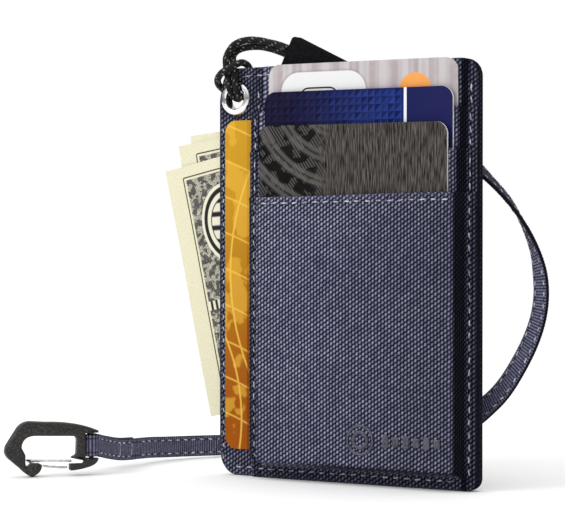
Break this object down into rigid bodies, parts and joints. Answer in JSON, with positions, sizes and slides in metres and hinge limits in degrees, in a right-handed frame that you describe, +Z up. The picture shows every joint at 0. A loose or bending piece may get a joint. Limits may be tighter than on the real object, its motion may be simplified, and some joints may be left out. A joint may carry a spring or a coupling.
{
  "type": "card wallet with tether",
  "caption": "Slim upright fabric card wallet with stepped card pockets, an eyelet with a cord loop, and a webbing tether that ends in a wire-gate clip.",
  "frame": {"origin": "middle of the wallet's bottom edge, half way through its seam", "axes": "+X to the right of someone facing the front, -Y out of the front, +Z up along the wallet"},
  "size_m": [0.1354, 0.0836, 0.1146],
  "materials": {
    "fabric": "navy oxford weave with lighter flecks, matt",
    "lining": "thin metallised grey lining",
    "thread": "pale blue-grey sewing thread",
    "eyelet_metal": "polished nickel",
    "mark": "raised glossy navy print",
    "gold_card": "printed card, gold to orange",
    "grey_card": "printed card, pinkish grey stripes",
    "blue_card": "printed card, blue geometric print",
    "black_card": "printed card, charcoal with line ornament",
    "note_paper": "cream paper with dark engraved ornament",
    "cord": "braided black cord with pale flecks",
    "tab_rubber": "black, finely grained, matt",
    "webbing": "narrow navy webbing, ribbed",
    "clip_plastic": "black moulded plastic with a fine spark texture",
    "gate_wire": "bright spring wire"
  },
  "bodies": {
    "wallet": {"back_panel": "fabric", "shield_lining": "lining", "base_panel": "fabric", "pocket_backing": "fabric", "rear_pocket": "fabric", "middle_pocket": "fabric", "front_pocket": "fabric", "seam_thread": "thread", "column_thread": "thread", "left_edge_thread": "thread", "front_hem_thread": "thread", "eyelet_front": "eyelet_metal", "eyelet_washer": "eyelet_metal", "mark_ring": "mark", "mark_bar": "mark", "lanyard_cord": "cord", "tab_front": "tab_rubber", "tab_back": "tab_rubber", "strap_webbing": "webbing", "strap_fold": "webbing"},
    "gold_card": {"card_gold": "gold_card"},
    "grey_card": {"card_grey": "grey_card"},
    "blue_card": {"card_blue": "blue_card"},
    "black_card": {"card_black": "black_card"},
    "front_note": {"banknote_front": "note_paper"},
    "middle_note": {"banknote_middle": "note_paper"},
    "rear_note": {"banknote_rear": "note_paper"},
    "clip": {"clip_frame": "clip_plastic"},
    "gate": {"clip_gate": "gate_wire"}
  },
  "joints": [
    {"name": "gold_card_slide", "type": "slide", "parent": "wallet", "child": "gold_card", "axis": [-0.9996, 0, 0.0279], "range_m": [0, 0.0466]},
    {"name": "grey_card_slide", "type": "slide", "parent": "wallet", "child": "grey_card", "axis": [0, 0, 1], "range_m": [0, 0.075]},
    {"name": "blue_card_slide", "type": "slide", "parent": "wallet", "child": "blue_card", "axis": [0, 0, 1], "range_m": [0, 0.072]},
    {"name": "black_card_slide", "type": "slide", "parent": "wallet", "child": "black_card", "axis": [0, 0, 1], "range_m": [0, 0.07]},
    {"name": "front_note_slide", "type": "slide", "parent": "wallet", "child": "front_note", "axis": [-0.9763, 0, -0.2164], "range_m": [0, 0.068]},
    {"name": "middle_note_slide", "type": "slide", "parent": "wallet", "child": "middle_note", "axis": [-0.9863, 0, -0.165], "range_m": [0, 0.068]},
    {"name": "rear_note_slide", "type": "slide", "parent": "wallet", "child": "rear_note", "axis": [-0.9945, 0, -0.1045], "range_m": [0, 0.068]},
    {"name": "clip_pivot", "type": "hinge", "parent": "wallet", "child": "clip", "pos_m": [-0.0658, -0.0196, 0.0076], "axis": [0, 0, 1], "range_deg": [-45, 45]},
    {"name": "gate_hinge", "type": "hinge", "parent": "clip", "child": "gate", "pos_m": [-0.06928, -0.02363, 0.0038], "axis": [-0.7572, 0.6532, 0], "range_deg": [0, 25], "stiffness_Nm_per_rad": 0.004, "springref_deg": -11.46}
  ]
}
